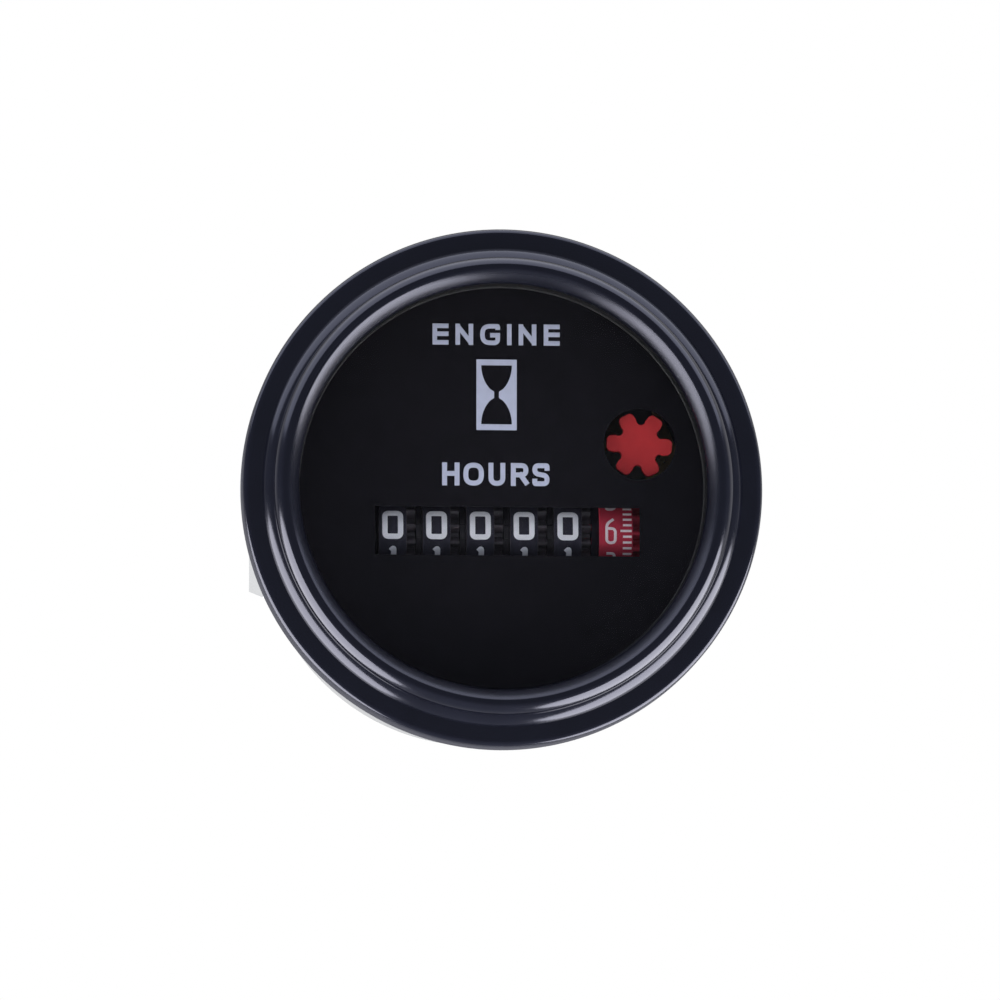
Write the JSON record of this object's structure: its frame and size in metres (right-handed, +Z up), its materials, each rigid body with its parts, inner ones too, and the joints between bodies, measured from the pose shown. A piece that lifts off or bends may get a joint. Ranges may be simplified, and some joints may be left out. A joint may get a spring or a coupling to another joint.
{
  "type": "panel hour meter",
  "caption": "Round black panel hour meter with a stepped bezel, number drums behind a dial window, a red run star, blade terminals and a clamp bracket on studs.",
  "frame": {"origin": "middle of the panel seat, on the meter's axis, in the plane where the gasket meets the panel", "axes": "+X right seen from the front, +Z up, the face looks along -Y and the case runs back along +Y"},
  "size_m": [0.06, 0.0624, 0.06],
  "materials": {
    "bezel_paint": "glossy",
    "lens_clear": "clear",
    "seal_rubber": "matte",
    "dial_black": "matte",
    "frame_black": "matte",
    "drum_black": "satin",
    "drum_red": "satin",
    "star_red": "matte",
    "gear_white": "satin",
    "zinc_plate": "satin",
    "steel": "satin",
    "brass": "satin",
    "board_green": "satin",
    "chip_black": "matte",
    "capacitor_sleeve": "glossy",
    "resistor_tan": "matte"
  },
  "bodies": {
    "housing": {"bezel": "bezel_paint", "lens": "lens_clear", "lens_seal": "seal_rubber", "panel_gasket": "seal_rubber", "dial": "dial_black", "movement_frame": "frame_black", "terminal_insulator": "frame_black", "indicator_cock": "frame_black", "case": "zinc_plate", "clamp_bracket": "zinc_plate", "stud_left": "zinc_plate", "stud_right": "zinc_plate", "washer_left": "zinc_plate", "washer_right": "zinc_plate", "nut_left": "zinc_plate", "nut_right": "zinc_plate", "counter_shaft": "steel", "pinion_shaft": "steel", "shaft_clips": "steel", "idler_pin": "steel", "cock_screw": "steel", "motor_screws": "steel", "board_screws": "steel", "gear_motor": "steel", "crystal_can": "steel", "motor_plate": "brass", "board_pillars": "brass", "motor_pins": "brass", "terminal_left": "brass", "terminal_right": "brass", "circuit_board": "board_green", "driver_chip": "chip_black", "diode": "chip_black", "capacitor": "capacitor_sleeve", "resistors": "resistor_tan"},
    "tenths_drum": {"tenths_drum": "drum_red"},
    "units_drum": {"units_drum": "drum_black"},
    "pinion_units": {"pinion_units": "gear_white"},
    "tens_drum": {"tens_drum": "drum_black"},
    "pinion_tens": {"pinion_tens": "gear_white"},
    "hundreds_drum": {"hundreds_drum": "drum_black"},
    "pinion_hundreds": {"pinion_hundreds": "gear_white"},
    "thousands_drum": {"thousands_drum": "drum_black"},
    "pinion_thousands": {"pinion_thousands": "gear_white"},
    "ten_thousands_drum": {"ten_thousands_drum": "drum_black"},
    "pinion_ten_thousands": {"pinion_ten_thousands": "gear_white"},
    "idler": {"idler_wheel": "gear_white"},
    "indicator": {"run_indicator": "star_red", "indicator_arbor": "steel", "drive_worm": "gear_white"}
  },
  "joints": [
    {"name": "tenths_spin", "type": "hinge", "parent": "housing", "child": "tenths_drum", "pos_m": [0.01275, 0.0037, -0.0049], "axis": [-1, 0, 0], "continuous": true},
    {"name": "units_spin", "type": "hinge", "parent": "housing", "child": "units_drum", "pos_m": [0.0077, 0.0037, -0.0049], "axis": [-1, 0, 0], "continuous": true},
    {"name": "pinion_units_spin", "type": "hinge", "parent": "housing", "child": "pinion_units", "pos_m": [0.0102, 0.01067, -0.00893], "axis": [1, 0, 0], "continuous": true},
    {"name": "tens_spin", "type": "hinge", "parent": "housing", "child": "tens_drum", "pos_m": [0.00265, 0.0037, -0.0049], "axis": [-1, 0, 0], "continuous": true},
    {"name": "pinion_tens_spin", "type": "hinge", "parent": "housing", "child": "pinion_tens", "pos_m": [0.00515, 0.01067, -0.00893], "axis": [1, 0, 0], "continuous": true},
    {"name": "hundreds_spin", "type": "hinge", "parent": "housing", "child": "hundreds_drum", "pos_m": [-0.0024, 0.0037, -0.0049], "axis": [-1, 0, 0], "continuous": true},
    {"name": "pinion_hundreds_spin", "type": "hinge", "parent": "housing", "child": "pinion_hundreds", "pos_m": [0.0001, 0.01067, -0.00893], "axis": [1, 0, 0], "continuous": true},
    {"name": "thousands_spin", "type": "hinge", "parent": "housing", "child": "thousands_drum", "pos_m": [-0.00745, 0.0037, -0.0049], "axis": [-1, 0, 0], "continuous": true},
    {"name": "pinion_thousands_spin", "type": "hinge", "parent": "housing", "child": "pinion_thousands", "pos_m": [-0.00495, 0.01067, -0.00893], "axis": [1, 0, 0], "continuous": true},
    {"name": "ten_thousands_spin", "type": "hinge", "parent": "housing", "child": "ten_thousands_drum", "pos_m": [-0.0125, 0.0037, -0.0049], "axis": [-1, 0, 0], "continuous": true},
    {"name": "pinion_ten_thousands_spin", "type": "hinge", "parent": "housing", "child": "pinion_ten_thousands", "pos_m": [-0.01, 0.01067, -0.00893], "axis": [1, 0, 0], "continuous": true},
    {"name": "idler_spin", "type": "hinge", "parent": "housing", "child": "idler", "pos_m": [0.01596, 0.01179, -0.00052], "axis": [1, 0, 0], "continuous": true},
    {"name": "indicator_spin", "type": "hinge", "parent": "housing", "child": "indicator", "pos_m": [0.01596, 0, 0.00533], "axis": [0, 1, 0], "continuous": true}
  ],
  "couplings": [
    {"joint": "units_spin", "follows": "tenths_spin", "ratio": 0.1},
    {"joint": "pinion_units_spin", "follows": "tenths_spin", "ratio": 0.25},
    {"joint": "tens_spin", "follows": "tenths_spin", "ratio": 0.01},
    {"joint": "pinion_tens_spin", "follows": "tenths_spin", "ratio": 0.025},
    {"joint": "hundreds_spin", "follows": "tenths_spin", "ratio": 0.001},
    {"joint": "pinion_hundreds_spin", "follows": "tenths_spin", "ratio": 0.0025},
    {"joint": "thousands_spin", "follows": "tenths_spin", "ratio": 0.0001},
    {"joint": "pinion_thousands_spin", "follows": "tenths_spin", "ratio": 0.00025},
    {"joint": "ten_thousands_spin", "follows": "tenths_spin", "ratio": 0.00001},
    {"joint": "pinion_ten_thousands_spin", "follows": "tenths_spin", "ratio": 0.000025},
    {"joint": "idler_spin", "follows": "tenths_spin", "ratio": 1.6667},
    {"joint": "indicator_spin", "follows": "tenths_spin", "ratio": 20}
  ]
}
